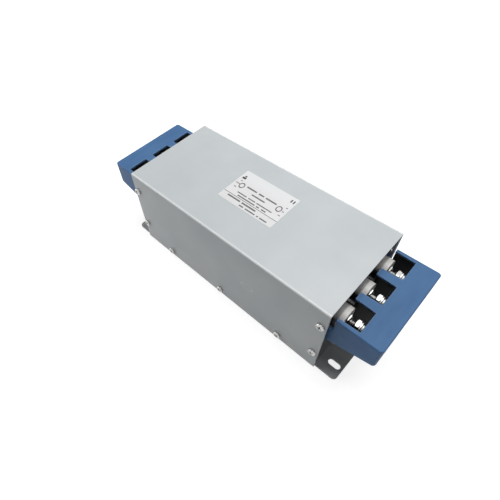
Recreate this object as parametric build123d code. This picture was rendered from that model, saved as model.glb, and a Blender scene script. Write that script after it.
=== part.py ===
from build123d import *
import os
from math import atan2, copysign, cos, degrees, hypot, radians, sin

# Three-phase line filter in a folded sheet-metal case, in millimetres.
# Origin: middle of the mounting surface. +X runs along the case to the right-hand end, +Z is up.

# Case
HOUSING_LENGTH = 250.0
HOUSING_WIDTH = 111.0
HOUSING_HEIGHT = 103.0
COVER_SHEET = 1.5
COVER_BEND = 1.8
COVER_LIFT = 0.5
SHEET_FIT = 0.3

# Base with its mounting flanges
BASE_SHEET = 2.0
BASE_BEND = 3.0
FLANGE_REACH = 22.5
FLANGE_CORNER = 4.5
LIP_HEIGHT = 16.0
SLOT_WIDTH = 6.5
SLOT_LENGTH = 13.0
SLOT_OUT = 13.3
SLOT_SPACING_Y = 80.0

# End plates
END_SHEET = 1.5
END_BEND = 2.0
END_RECESS = 12.0
END_FLANGE = 11.5
END_TOP_GAP = 0.5
END_RELIEF = 3.5

# Terminals, one in each phase at each end
PHASES = 3
PHASE_INSET = 15.5
STUD_RADIUS = 4.0
STUD_DROP = 16.0
STUD_OUT = 28.5
STUD_POINT = 0.8
BORE_GAP = 0.1
BUSHING_GAP = 1.0
BUSHING_OUT = 6.2
BUSHING_EDGE = 0.5
SPIGOT_RADIUS = 6.0
SPIGOT_GAP = 0.2
INSULATOR_RADIUS = 9.0
INSULATOR_THICK = 3.0
NUT_FLATS = 13.0
NUT_THICK = 6.5
JAM_NUT_THICK = 2.0
HOLD_NUT_THICK = 4.2
NUT_CHAMFER = 0.6
HEX_SIDES = 6
HEX_TURN = 30.0
WASHER_RADIUS = 8.0
WASHER_THICK = 1.4
SPRING_RADIUS = 6.6
SPRING_THICK = 2.0
SPRING_SPLIT = 1.6
BARE_STUD = 5.0
STUD_TAIL = 1.5

# Moulded terminal covers
TERMINAL_COVER_INSET = 7.5
TERMINAL_COVER_DROP = 13.0
TERMINAL_COVER_REACH = 43.0
TERMINAL_COVER_WALL = 2.5
TERMINAL_COVER_FRONT = 26.0
TERMINAL_COVER_REAR = 41.5
TERMINAL_COVER_CORNER = 3.0
TERMINAL_COVER_EDGE = 0.7
TOP_PLATE_GAP = 2.5
PARTITION = 2.5
WALL_STEP = 16.0
WINDOW_WIDTH = 22.5
WINDOW_FLARE = 1.3
WINDOW_REACH = 21.5
WINDOW_EDGE = 0.4
LUG_WIDTH = 11.0
LUG_THICK = 3.0
LUG_CLEARANCE = 1.5

# Case screws, cover screws and their clinch nuts
SCREW_RADIUS = 2.0
SCREW_HOLE = 2.3
SCREW_HEAD = 4.0
SCREW_HEAD_HEIGHT = 2.8
SCREW_EDGE = 0.9
SCREW_LENGTH = 6.0
CLINCH_RADIUS = 3.6
CLINCH_HEIGHT = 3.0
CLINCH_GAP = 0.08
SIDE_SCREW_INSET = 5.5
SIDE_SCREW_LOW = 29.5
SIDE_SCREW_HIGH = 81.0
LIP_SCREW_HEIGHT = 8.5
LIP_SCREW_PITCH = 80.0
LIP_SCREWS = 3

# Earth terminal below each cover
EARTH_RADIUS = 3.0
EARTH_HEIGHT = 36.0
EARTH_OUT = 18.0
EARTH_HEAD_RADIUS = 5.0
EARTH_HEAD_THICK = 2.5
EARTH_FLATS = 10.0
EARTH_NUT_THICK = 5.0
EARTH_WASHER_RADIUS = 6.0
EARTH_WASHER_THICK = 1.2
EARTH_NUTS = 2

# Rating label
LABEL_LENGTH = 67.0
LABEL_WIDTH = 45.5
LABEL_THICK = 0.2
LABEL_OFFSET_Y = 5.6
LABEL_CORNER = 1.0

# Chokes: a ring core in a moulded case, wound with three flat copper bars
CHOKE_INSET = 41.5
CHOKE_CLEARANCE = 7.05
CORE_RING = 12.5
CORE_LENGTH = 28.0
CASE_WALL = 1.5
CASE_GAP = 0.3
WIRE_WIDTH = 5.0
WIRE_THICK = 4.0
WIRE_GAP = 0.4
TURN_ANGLE = 22.0
TURNS = 4
PAD_RADIUS = 34.0
PAD_THICK = 3.0
BOLT_RADIUS = 3.0
BOLT_HEAD_FLATS = 10.0
BOLT_HEAD_THICK = 4.0
BOLT_NUT_THICK = 5.0
BOLT_TAIL = 2.0
BRACKET_SHEET = 2.0
BRACKET_WIDTH = 34.0
BRACKET_FOOT = 18.0
BRACKET_ABOVE = 14.0

# Copper links and bars
LINK_THICK = 3.0
LINK_RADIUS = 7.0
LINK_FIT = 0.1
BAR_WIDTH = 10.0
BAR_THICK = 3.0
BAR_SHORT = 32.0
BAR_LAP = 10.0

# Capacitor board
BOARD_SHORT = 28.0
BOARD_SIDE_GAP = 4.2
BOARD_THICK = 1.6
STANDOFF_FLATS = 7.0
STANDOFF_INSET_X = 22.0
BOARD_SCREW_RADIUS = 1.5
BOARD_SCREW_HEAD = 2.8
BOARD_SCREW_HEAD_HEIGHT = 2.0
BOARD_SCREW_LENGTH = 7.0
BOARD_HOLE = 1.6
LINE_CAP_SPACE = 2.0
LINE_CAP_WIDTH = 15.0
LINE_CAP_HEIGHT = 26.0
EARTH_CAP_LENGTH = 18.0
EARTH_CAP_WIDTH = 8.0
EARTH_CAP_HEIGHT = 14.0
CAP_EDGE = 1.0
RESISTOR_RADIUS = 2.5
RESISTOR_LENGTH = 12.0
LEAD_RADIUS = 1.0
LEAD_POST_RADIUS = 1.6
LEAD_INSET = 2.5
LEAD_BACK = 4.0

# Rows across the board, as shares of its half width
STANDOFF_NEAR_SHARE = -0.82
RESISTOR_SHARE = -0.485
EARTH_CAP_SHARE = -0.15
STANDOFF_FAR_SHARE = 0.15
LINE_CAP_SHARE = 0.575

# Worked-out places
HALF_LENGTH = HOUSING_LENGTH / 2
COVER_HALF = HOUSING_WIDTH / 2
COVER_INNER = COVER_HALF - COVER_SHEET
CARCASS_HALF = COVER_INNER - SHEET_FIT
END_FACE = HALF_LENGTH - END_RECESS
END_BACK = END_FACE - END_SHEET
END_FRONT = END_FACE + END_FLANGE
ROOF = HOUSING_HEIGHT - COVER_SHEET
END_TOP = ROOF - END_TOP_GAP
LIP_END = END_BACK - SHEET_FIT
SIDE_SCREW_X = HALF_LENGTH - SIDE_SCREW_INSET

TERMINAL_COVER_HALF = COVER_HALF - TERMINAL_COVER_INSET
TERMINAL_COVER_TOP = HOUSING_HEIGHT - TERMINAL_COVER_DROP
TERMINAL_COVER_LOW = TERMINAL_COVER_TOP - TERMINAL_COVER_REAR
PHASE_PITCH = TERMINAL_COVER_HALF - PHASE_INSET
PHASE_Y = [PHASE_PITCH * (place - (PHASES - 1) / 2) for place in range(PHASES)]
STUD_HEIGHT = TERMINAL_COVER_TOP - STUD_DROP
STUD_FRONT = HALF_LENGTH + STUD_OUT
BUSHING_END = HALF_LENGTH + BUSHING_OUT
BUSHING_ROOM = min((PHASE_PITCH - PARTITION) / 2, PHASE_INSET - TERMINAL_COVER_WALL)
BUSHING_RADIUS = BUSHING_ROOM - BUSHING_GAP
LUG_TOP = STUD_HEIGHT - BUSHING_RADIUS - LUG_CLEARANCE
INSULATOR_BACK = END_BACK - INSULATOR_THICK
LINK_BACK = INSULATOR_BACK - LINK_THICK
CLAMP_SPRING_BACK = LINK_BACK - SPRING_THICK
CLAMP_NUT_BACK = CLAMP_SPRING_BACK - NUT_THICK
STUD_BACK = CLAMP_NUT_BACK - STUD_TAIL

CHOKE_X = END_BACK - CHOKE_INSET
CHOKE_HEIGHT = (BASE_SHEET + ROOF) / 2
CASE_OUTER = (ROOF - BASE_SHEET) / 2 - CHOKE_CLEARANCE - WIRE_THICK - WIRE_GAP
CORE_OUTER = CASE_OUTER - CASE_WALL - CASE_GAP
CORE_INNER = CORE_OUTER - CORE_RING
CASE_INNER = CORE_INNER - CASE_GAP - CASE_WALL
CASE_HALF = CORE_LENGTH / 2 + CASE_GAP + CASE_WALL
WIRE_IN = CASE_INNER - WIRE_GAP - WIRE_THICK / 2
WIRE_OUT = CASE_OUTER + WIRE_GAP + WIRE_THICK / 2
WIRE_FACE = CASE_HALF + WIRE_GAP + WIRE_THICK / 2
WINDING_HALF = WIRE_FACE + WIRE_THICK / 2
WINDING_SPAN = TURN_ANGLE * TURNS
PHASE_ANGLES = (150.0, 270.0, 30.0)
PHASE_TURNING = (1, 1, -1)

BAR_RADIUS = WIRE_OUT - WIRE_THICK / 2 - BAR_THICK / 2
BAR_REACH = CHOKE_X - BAR_SHORT
TAIL_REACH = BAR_REACH - BAR_LAP
LEAD_X = BAR_REACH - LEAD_BACK
BOARD_LENGTH = 2 * (CHOKE_X - BOARD_SHORT)
BOARD_HALF = BAR_RADIUS - BOARD_SIDE_GAP
BOARD_LOW = CHOKE_HEIGHT - BAR_RADIUS / 2
BOARD_TOP = BOARD_LOW + BOARD_THICK
BOARD_PITCH = BOARD_LENGTH / PHASES
STANDOFF_HEIGHT = BOARD_LOW - BASE_SHEET
LINE_CAP_LENGTH = BOARD_PITCH - LINE_CAP_SPACE


def block(x0, x1, y0, y1, z0, z1):
    """A box given by its two corners."""
    return Pos((x0 + x1) / 2, (y0 + y1) / 2, (z0 + z1) / 2) * Box(
        abs(x1 - x0), abs(y1 - y0), abs(z1 - z0)
    )


def rod_x(radius, x0, x1, y=0.0, z=0.0):
    """A round rod along X."""
    return Pos((x0 + x1) / 2, y, z) * Rot(0, 90, 0) * Cylinder(radius, abs(x1 - x0))


def rod_y(radius, y0, y1, x, z):
    """A round rod along Y."""
    return Pos(x, (y0 + y1) / 2, z) * Rot(90, 0, 0) * Cylinder(radius, abs(y1 - y0))


def rod_z(radius, z0, z1, x, y):
    """A round rod along Z."""
    return Pos(x, y, (z0 + z1) / 2) * Cylinder(radius, abs(z1 - z0))


def hexagon(flats):
    """A hexagon given across its flats."""
    return RegularPolygon(hex_corner(flats), HEX_SIDES, rotation=HEX_TURN)


def hex_corner(flats):
    """The corner radius of a hexagon given across its flats."""
    return flats / 2 / cos(radians(HEX_TURN))


def hex_nut(flats, thick, bore, x0, y, z):
    """A hexagon nut along X from x0, a flat upward, both rims turned down at the corners."""
    turned = chamfer(Cylinder(hex_corner(flats), thick).edges(), NUT_CHAMFER)
    nut = extrude(hexagon(flats), thick / 2, both=True) & turned
    nut -= Cylinder(bore, thick)
    return Pos(x0 + thick / 2, y, z) * Rot(0, 90, 0) * nut


def ring_x(outer, bore, x0, x1, y, z):
    """A flat ring along X."""
    return rod_x(outer, x0, x1, y, z) - rod_x(bore, x0, x1, y, z)


def spring_ring(x0, y, z):
    """A spring washer: a ring with one narrow split."""
    ring = ring_x(SPRING_RADIUS, STUD_RADIUS + BORE_GAP, x0, x0 + SPRING_THICK, y, z)
    half = SPRING_SPLIT / 2
    return ring - block(x0, x0 + SPRING_THICK, y - half, y + half, z - SPRING_RADIUS, z)


def pan_head_screw(length):
    """A pan-head screw along Z, its seat at zero, its shank pointing down."""
    head = Pos(0, 0, SCREW_HEAD_HEIGHT / 2) * Cylinder(SCREW_HEAD, SCREW_HEAD_HEIGHT)
    head = fillet(head.edges().group_by(Axis.Z)[-1], SCREW_EDGE)
    return head + Pos(0, 0, -length / 2) * Cylinder(SCREW_RADIUS, length)


def opposite(piece):
    """The same piece at the left-hand end."""
    return mirror(piece, about=Plane.YZ)


def both_ends(pieces):
    """A list of pieces at the right-hand end, with their mirror images at the left."""
    return pieces + [opposite(piece) for piece in pieces]


def folded_channel(half, height, sheet, bend, length):
    """A sheet folded into a channel, open at the top, with its web on the ground."""
    outer = Pos(0, height / 2) * Rectangle(2 * half, height)
    outer = fillet(outer.vertices().group_by(Axis.Y)[0], bend)
    inner = Pos(0, (height + sheet) / 2) * Rectangle(2 * (half - sheet), height - sheet)
    inner = fillet(inner.vertices().group_by(Axis.Y)[0], bend - sheet)
    return extrude(Plane.YZ * (outer - inner), length / 2, both=True)


def side_screw_places():
    """The X and Z of each case screw on one long side."""
    ends = [(side * SIDE_SCREW_X, z) for side in (-1, 1) for z in (SIDE_SCREW_LOW, SIDE_SCREW_HIGH)]
    middle = (LIP_SCREWS - 1) / 2
    lips = [((place - middle) * LIP_SCREW_PITCH, LIP_SCREW_HEIGHT) for place in range(LIP_SCREWS)]
    return ends + lips


def housing_cover():
    """The top cover: one sheet folded down along both long sides, drilled for the case screws."""
    height = HOUSING_HEIGHT - COVER_LIFT
    sheet = folded_channel(COVER_HALF, height, COVER_SHEET, COVER_BEND, HOUSING_LENGTH)
    cover = Pos(0, 0, HOUSING_HEIGHT) * Rot(180, 0, 0) * sheet
    for x, z in side_screw_places():
        cover -= rod_y(SCREW_HOLE, -HOUSING_WIDTH, HOUSING_WIDTH, x, z)
    return cover


def base_tray():
    """The base: a sheet with two upturned lips, drawn out past both ends as slotted flanges."""
    tray = folded_channel(CARCASS_HALF, LIP_HEIGHT, BASE_SHEET, BASE_BEND, 2 * LIP_END)
    floor = RectangleRounded(
        2 * (HALF_LENGTH + FLANGE_REACH), 2 * (CARCASS_HALF - SHEET_FIT), FLANGE_CORNER
    )
    tray += extrude(floor, BASE_SHEET)
    for x in (-HALF_LENGTH - SLOT_OUT, HALF_LENGTH + SLOT_OUT):
        for y in (-SLOT_SPACING_Y / 2, SLOT_SPACING_Y / 2):
            tray -= Pos(x, y) * extrude(SlotOverall(SLOT_LENGTH, SLOT_WIDTH), BASE_SHEET)
    for x, z in side_screw_places():
        if abs(x) < LIP_END:
            tray -= rod_y(SCREW_HOLE, -HOUSING_WIDTH, HOUSING_WIDTH, x, z)
    return tray


def cover_lug_places():
    """The Y and Z of the screw in each lug of a terminal cover."""
    y = TERMINAL_COVER_HALF - TERMINAL_COVER_WALL - LUG_WIDTH / 2
    z = (TERMINAL_COVER_LOW + LUG_TOP) / 2
    return [(-y, z), (y, z)]


def dished(x0, half, low, bend):
    """A block from x0 to the end plate's front, its back edges rounded except for the top one."""
    solid = block(x0, END_FRONT, -half, half, low, END_TOP)
    back_edges = solid.faces().sort_by(Axis.X)[0].edges().sort_by(Axis.Z)
    return fillet(back_edges[:-1], bend)


def end_plate():
    """The right-hand end plate: a sheet with flanges folded outward at its foot and both sides."""
    inner_half = CARCASS_HALF - END_SHEET
    plate = dished(END_BACK, CARCASS_HALF, BASE_SHEET, END_BEND)
    plate -= dished(END_FACE, inner_half, BASE_SHEET + END_SHEET, END_BEND - END_SHEET)
    for y in (-CARCASS_HALF, CARCASS_HALF):
        relief = Box(END_FLANGE, 2 * END_RELIEF, 2 * END_RELIEF)
        plate -= Pos(END_FACE + END_BEND + END_FLANGE / 2, y, BASE_SHEET) * relief
    for y in PHASE_Y:
        plate -= rod_x(SPIGOT_RADIUS + SPIGOT_GAP, END_BACK, END_FACE, y, STUD_HEIGHT)
    for y, z in cover_lug_places():
        plate -= rod_x(SCREW_RADIUS + CLINCH_GAP, END_BACK, END_FACE, y, z)
    plate -= rod_x(EARTH_RADIUS, END_BACK, END_FACE, 0, EARTH_HEIGHT)
    for x, z in side_screw_places():
        if x > END_FACE:
            plate -= rod_y(SCREW_HOLE, -HOUSING_WIDTH, HOUSING_WIDTH, x, z)
    return plate


def terminal_cover():
    """The right-hand terminal cover.

    It is a moulded hood, open below and towards the case. Its sides slope up from the case to the
    front and step down behind the top plate, its front corners are rounded, two partitions keep
    the phases apart, and three windows in the top, open towards the case, let a spanner reach the
    nuts. Two lugs at the low back corners take its screws.
    """
    front = HALF_LENGTH + TERMINAL_COVER_REACH
    half = TERMINAL_COVER_HALF
    top = TERMINAL_COVER_TOP
    low_front = top - TERMINAL_COVER_FRONT
    outline = [(END_FACE, top), (front, top), (front, low_front), (END_FACE, TERMINAL_COVER_LOW)]
    side = Plane.XZ * Polygon(*outline, align=None)
    hood = extrude(side, half, both=True)
    hood = fillet(hood.edges().filter_by(Axis.Z).group_by(Axis.X)[-1], TERMINAL_COVER_CORNER)
    rims = hood.faces().sort_by(Axis.Z)[-1].edges().sort_by(Axis.X)[1:]
    hood = chamfer(rims, TERMINAL_COVER_EDGE)
    hood -= terminal_chambers(front, half, top)
    for y in PHASE_Y:
        hood -= window_cutter(y, top)
    for y, z in cover_lug_places():
        hood -= rod_x(SCREW_HOLE, END_FACE, END_FACE + LUG_THICK, y, z)
    return hood


def terminal_chambers(front, half, top):
    """The hollow of a terminal cover: three chambers and the step, less partitions and lugs."""
    inner_half = half - TERMINAL_COVER_WALL
    inner_front = front - TERMINAL_COVER_WALL
    inner_top = top - TERMINAL_COVER_WALL
    hollow = block(END_FACE, inner_front, -inner_half, inner_half, 0, inner_top)
    corners = hollow.edges().filter_by(Axis.Z).group_by(Axis.X)[-1]
    hollow = fillet(corners, TERMINAL_COVER_CORNER - TERMINAL_COVER_WALL)
    top_rear = HALF_LENGTH + TOP_PLATE_GAP
    for low, high in zip(PHASE_Y, PHASE_Y[1:]):
        middle = (low + high) / 2
        y0, y1 = middle - PARTITION / 2, middle + PARTITION / 2
        hollow -= block(END_FACE, inner_front, y0, y1, 0, inner_top)
    for y, _ in cover_lug_places():
        y0, y1 = y - LUG_WIDTH / 2, y + LUG_WIDTH / 2
        hollow -= block(END_FACE, END_FACE + LUG_THICK, y0, y1, TERMINAL_COVER_LOW, LUG_TOP)
    return hollow + block(END_FACE, top_rear, -half, half, inner_top - WALL_STEP, top)


def window_cutter(y, top):
    """One window in the top of a terminal cover, wider at the back, its upper edge bevelled."""
    end = HALF_LENGTH + WINDOW_REACH
    half = WINDOW_WIDTH / 2
    through = flared_block(end, half, y, top - 2 * TERMINAL_COVER_WALL, top)
    rim = flared_block(end + WINDOW_EDGE, half + WINDOW_EDGE, y, top - WINDOW_EDGE, top + WINDOW_EDGE)
    low_edges = rim.faces().sort_by(Axis.Z)[0].edges()
    return through + chamfer(low_edges, WINDOW_EDGE)


def flared_block(end, half, y, z0, z1):
    """A block from the end plate to its front end, where it is narrower."""
    wide = half + WINDOW_FLARE
    outline = [(END_FACE, -wide), (end, -half), (end, half), (END_FACE, wide)]
    return Pos(0, y, z0) * extrude(Polygon(*outline, align=None), z1 - z0)


def bushing(y):
    """A terminal bushing: a collar outside the end plate and a spigot through it."""
    body = rod_x(BUSHING_RADIUS, END_FACE, BUSHING_END, y, STUD_HEIGHT)
    body = chamfer(body.edges().group_by(Axis.X)[-1], BUSHING_EDGE)
    body += rod_x(SPIGOT_RADIUS, END_BACK, END_FACE, y, STUD_HEIGHT)
    return body - rod_x(STUD_RADIUS + BORE_GAP, END_BACK, BUSHING_END, y, STUD_HEIGHT)


def terminal_stud(y):
    """A terminal stud, pointed a little at its outer end."""
    stud = rod_x(STUD_RADIUS, STUD_BACK, STUD_FRONT, y, STUD_HEIGHT)
    return chamfer(stud.edges().group_by(Axis.X)[-1], STUD_POINT)


def outer_stack(y):
    """The hardware past the bare stud: a thin nut, a flat washer, a spring washer and a nut."""
    bore = STUD_RADIUS + BORE_GAP
    hold = BUSHING_END + JAM_NUT_THICK + BARE_STUD
    flat = hold + HOLD_NUT_THICK
    spring = flat + WASHER_THICK
    outer = spring + SPRING_THICK
    nuts = [
        hex_nut(NUT_FLATS, HOLD_NUT_THICK, bore, hold, y, STUD_HEIGHT),
        hex_nut(NUT_FLATS, NUT_THICK, bore, outer, y, STUD_HEIGHT),
    ]
    washer = ring_x(WASHER_RADIUS, bore, flat, spring, y, STUD_HEIGHT)
    return nuts, washer, spring_ring(spring, y, STUD_HEIGHT)


def terminal_hardware():
    """All fastenings of the six studs, as named lists of like pieces."""
    bore = STUD_RADIUS + BORE_GAP
    kinds = {
        "jam_nuts": [],
        "flat_washers": [],
        "spring_washers": [],
        "terminal_nuts": [],
        "insulating_washers": [],
        "clamp_springs": [],
        "clamp_nuts": [],
    }
    for y in PHASE_Y:
        nuts, washer, spring = outer_stack(y)
        kinds["jam_nuts"].append(
            hex_nut(NUT_FLATS, JAM_NUT_THICK, bore, BUSHING_END, y, STUD_HEIGHT)
        )
        kinds["flat_washers"].append(washer)
        kinds["spring_washers"].append(spring)
        kinds["terminal_nuts"] += nuts
        kinds["insulating_washers"].append(
            ring_x(INSULATOR_RADIUS, bore, INSULATOR_BACK, END_BACK, y, STUD_HEIGHT)
        )
        kinds["clamp_springs"].append(spring_ring(CLAMP_SPRING_BACK, y, STUD_HEIGHT))
        kinds["clamp_nuts"].append(
            hex_nut(NUT_FLATS, NUT_THICK, bore, CLAMP_NUT_BACK, y, STUD_HEIGHT)
        )
    return {name: both_ends(pieces) for name, pieces in kinds.items()}


def side_screws():
    """The case screws along both long sides."""
    screw = pan_head_screw(SCREW_LENGTH)
    places = side_screw_places()
    near = [Pos(x, -COVER_HALF, z) * Rot(90, 0, 0) * screw for x, z in places]
    far = [Pos(x, COVER_HALF, z) * Rot(-90, 0, 0) * screw for x, z in places]
    return near + far


def clinch_nuts():
    """The pressed-in nuts that the case screws run into, inside the lips and the end flanges."""
    nuts = []
    for x, z in side_screw_places():
        sheet = BASE_SHEET if abs(x) < LIP_END else END_SHEET
        face = CARCASS_HALF - sheet
        nut = rod_y(CLINCH_RADIUS, face - CLINCH_HEIGHT, face, x, z)
        nut -= rod_y(SCREW_RADIUS + CLINCH_GAP, face - CLINCH_HEIGHT, face, x, z)
        nuts += [nut, mirror(nut, about=Plane.XZ)]
    return nuts


def terminal_cover_screws():
    """The screws through the lugs of both terminal covers."""
    screw = Rot(0, 90, 0) * pan_head_screw(SCREW_LENGTH)
    seat = END_FACE + LUG_THICK
    return both_ends([Pos(seat, y, z) * screw for y, z in cover_lug_places()])


def earth_studs():
    """The earth studs: a flat head behind each end plate and a threaded end outside."""
    head_back = END_BACK - EARTH_HEAD_THICK
    stud = rod_x(EARTH_HEAD_RADIUS, head_back, END_BACK, 0, EARTH_HEIGHT)
    stud += rod_x(EARTH_RADIUS, END_BACK, END_FACE + EARTH_OUT, 0, EARTH_HEIGHT)
    return both_ends([stud])


def earth_hardware():
    """The washers and nuts on each earth stud, one washer below each nut."""
    bore = EARTH_RADIUS + BORE_GAP
    washers = []
    nuts = []
    x = END_FACE
    for _ in range(EARTH_NUTS):
        seat = x + EARTH_WASHER_THICK
        washers.append(ring_x(EARTH_WASHER_RADIUS, bore, x, seat, 0, EARTH_HEIGHT))
        nuts.append(hex_nut(EARTH_FLATS, EARTH_NUT_THICK, bore, seat, 0, EARTH_HEIGHT))
        x = seat + EARTH_NUT_THICK
    return both_ends(washers), both_ends(nuts)


def rating_label():
    """The thin label on the top cover."""
    label = extrude(RectangleRounded(LABEL_LENGTH, LABEL_WIDTH, LABEL_CORNER), LABEL_THICK)
    return Pos(0, LABEL_OFFSET_Y, HOUSING_HEIGHT) * label


def choke_core():
    """The ring core of the right-hand choke."""
    x0, x1 = CHOKE_X - CORE_LENGTH / 2, CHOKE_X + CORE_LENGTH / 2
    return ring_x(CORE_OUTER, CORE_INNER, x0, x1, 0, CHOKE_HEIGHT)


def choke_case():
    """The moulded case of the core: a ring-shaped cup and its flat lid."""
    back, front = CHOKE_X - CASE_HALF, CHOKE_X + CASE_HALF
    lid_back = front - CASE_WALL
    cup = ring_x(CASE_OUTER, CASE_INNER, back, lid_back, 0, CHOKE_HEIGHT)
    trough = (CASE_OUTER - CASE_WALL, CASE_INNER + CASE_WALL)
    cup -= ring_x(*trough, back + CASE_WALL, lid_back, 0, CHOKE_HEIGHT)
    lid = ring_x(CASE_OUTER, CASE_INNER, lid_back, front, 0, CHOKE_HEIGHT)
    return [cup, lid]


def polar(radius, angle):
    """The Y and Z of a point round the choke's axis, relative to it."""
    return radius * cos(radians(angle)), radius * sin(radians(angle))


def axial_bar(radius, angle, x0, x1, width, thick):
    """A flat bar along X at an angle round the choke, its thickness along the radius."""
    y, z = polar(radius, angle)
    bar = Box(abs(x1 - x0), thick, width)
    return Pos((x0 + x1) / 2, y, z) * Rot(angle, 0, 0) * bar


def face_bar(x, inner_angle, outer_angle):
    """A flat bar across one face of the choke, from the inner to the outer turns."""
    y0, z0 = polar(WIRE_IN, inner_angle)
    y1, z1 = polar(WIRE_OUT, outer_angle)
    length = hypot(y1 - y0, z1 - z0)
    lean = degrees(atan2(z1 - z0, y1 - y0))
    bar = Box(WIRE_THICK, length + WIRE_THICK, WIRE_WIDTH)
    return Pos(x, (y0 + y1) / 2, (z0 + z1) / 2) * Rot(lean, 0, 0) * bar


def winding(middle_angle, turning):
    """One winding: a flat bar led over the ring, through its middle and on, with two straight tails.

    Each turn is an outer run along X, a run across the back face, an inner run along X and a
    leaning run across the front face to the next outer run.
    """
    angles = [
        middle_angle + turning * (place * TURN_ANGLE - WINDING_SPAN / 2)
        for place in range(TURNS + 1)
    ]
    tail_front = LINK_BACK + LINK_THICK - CHOKE_X
    tail_back = TAIL_REACH - CHOKE_X
    size = (WIRE_WIDTH, WIRE_THICK)
    bar = axial_bar(WIRE_OUT, angles[0], -WINDING_HALF, tail_front, *size)
    for start, following in zip(angles, angles[1:]):
        last = following == angles[-1]
        bar += face_bar(-WIRE_FACE, start, start)
        bar += axial_bar(WIRE_IN, start, -WINDING_HALF, WINDING_HALF, *size)
        bar += face_bar(WIRE_FACE, start, following)
        back = tail_back if last else -WINDING_HALF
        bar += axial_bar(WIRE_OUT, following, back, WINDING_HALF, *size)
    return Pos(CHOKE_X, 0, CHOKE_HEIGHT) * bar, angles[0], angles[-1]


def phase_windings():
    """The three windings of the right-hand choke, with the angles of their two tails."""
    return [winding(angle, turning) for angle, turning in zip(PHASE_ANGLES, PHASE_TURNING)]


def link(y, tail_angle):
    """The copper link from a stud to a winding's tail, with a hole for each."""
    tail_y, tail_z = polar(WIRE_OUT, tail_angle)
    tail_z += CHOKE_HEIGHT
    reach = hypot(tail_y - y, tail_z - STUD_HEIGHT)
    lean = degrees(atan2(tail_z - STUD_HEIGHT, tail_y - y))
    outline = SlotCenterToCenter(reach, 2 * LINK_RADIUS)
    strip = extrude(Plane.YZ * (Rot(0, 0, lean) * outline), LINK_THICK)
    strip = Pos(LINK_BACK, (y + tail_y) / 2, (STUD_HEIGHT + tail_z) / 2) * strip
    strip -= rod_x(STUD_RADIUS + BORE_GAP, LINK_BACK, INSULATOR_BACK, y, STUD_HEIGHT)
    hole = Rot(tail_angle, 0, 0) * Box(2 * LINK_THICK, WIRE_THICK + LINK_FIT, WIRE_WIDTH + LINK_FIT)
    return strip - Pos(LINK_BACK + LINK_THICK / 2, tail_y, tail_z) * hole


def phase_bar(tail_angle):
    """The copper bar that joins the inner tails of both chokes, lying against them."""
    bar = axial_bar(BAR_RADIUS, tail_angle, -BAR_REACH, BAR_REACH, BAR_WIDTH, BAR_THICK)
    return Pos(0, 0, CHOKE_HEIGHT) * bar


def choke_pads():
    """The two insulating discs that a choke is clamped between."""
    pads = []
    for x0 in (CHOKE_X - WINDING_HALF - PAD_THICK, CHOKE_X + WINDING_HALF):
        pads.append(ring_x(PAD_RADIUS, BOLT_RADIUS + BORE_GAP, x0, x0 + PAD_THICK, 0, CHOKE_HEIGHT))
    return both_ends(pads)


def choke_bracket():
    """The folded bracket that stands on the base and holds the choke by its middle bolt."""
    face = CHOKE_X - WINDING_HALF - PAD_THICK
    back = face - BRACKET_SHEET
    half = BRACKET_WIDTH / 2
    top = CHOKE_HEIGHT + BRACKET_ABOVE
    foot_top = BASE_SHEET + BRACKET_SHEET
    bracket = block(back, face, -half, half, BASE_SHEET, top)
    bracket += block(back - BRACKET_FOOT, face, -half, half, BASE_SHEET, foot_top)
    return bracket - rod_x(BOLT_RADIUS + BORE_GAP, back, face, 0, CHOKE_HEIGHT)


def choke_bolt():
    """The hexagon bolt through the middle of a choke."""
    seat = CHOKE_X - WINDING_HALF - PAD_THICK - BRACKET_SHEET
    front = CHOKE_X + WINDING_HALF + PAD_THICK
    end = front + BOLT_NUT_THICK + BOLT_TAIL
    head = extrude(Plane.YZ * hexagon(BOLT_HEAD_FLATS), -BOLT_HEAD_THICK)
    bolt = Pos(seat, 0, CHOKE_HEIGHT) * head
    bolt += rod_x(BOLT_RADIUS, seat, end, 0, CHOKE_HEIGHT)
    bore = BOLT_RADIUS + BORE_GAP
    nut = hex_nut(BOLT_HEAD_FLATS, BOLT_NUT_THICK, bore, front, 0, CHOKE_HEIGHT)
    return bolt, nut


def standoff_places():
    """The X and Y of the four standoffs."""
    x = BOARD_LENGTH / 2 - STANDOFF_INSET_X
    shares = (STANDOFF_NEAR_SHARE, STANDOFF_FAR_SHARE)
    return [(side * x, share * BOARD_HALF) for side in (-1, 1) for share in shares]


def board_standoffs():
    """Hexagon standoffs between the base and the board."""
    post = extrude(hexagon(STANDOFF_FLATS), STANDOFF_HEIGHT)
    bore = BOARD_SCREW_RADIUS + CLINCH_GAP
    post -= rod_z(bore, STANDOFF_HEIGHT - BOARD_SCREW_LENGTH, STANDOFF_HEIGHT, 0, 0)
    return [Pos(x, y, BASE_SHEET) * post for x, y in standoff_places()]


def board_screws():
    """Small screws that hold the board on its standoffs."""
    length = BOARD_SCREW_LENGTH - BOARD_SCREW_HEAD_HEIGHT + BOARD_THICK
    screw = rod_z(BOARD_SCREW_HEAD, 0, BOARD_SCREW_HEAD_HEIGHT, 0, 0)
    screw += rod_z(BOARD_SCREW_RADIUS, -length, 0, 0, 0)
    return [Pos(x, y, BOARD_TOP) * screw for x, y in standoff_places()]


def capacitor_board():
    """The board that carries the capacitors and resistors, drilled for its screws."""
    board = Pos(0, 0, BOARD_LOW + BOARD_THICK / 2) * Box(BOARD_LENGTH, 2 * BOARD_HALF, BOARD_THICK)
    for x, y in standoff_places():
        board -= rod_z(BOARD_HOLE, BOARD_LOW, BOARD_TOP, x, y)
    return board


def box_capacitor(length, width, height, x, y):
    """A moulded box capacitor standing on the board, its upper edges rounded."""
    body = Pos(x, y, BOARD_TOP + height / 2) * Box(length, width, height)
    return fillet(body.faces().sort_by(Axis.Z)[-1].edges(), CAP_EDGE)


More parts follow.
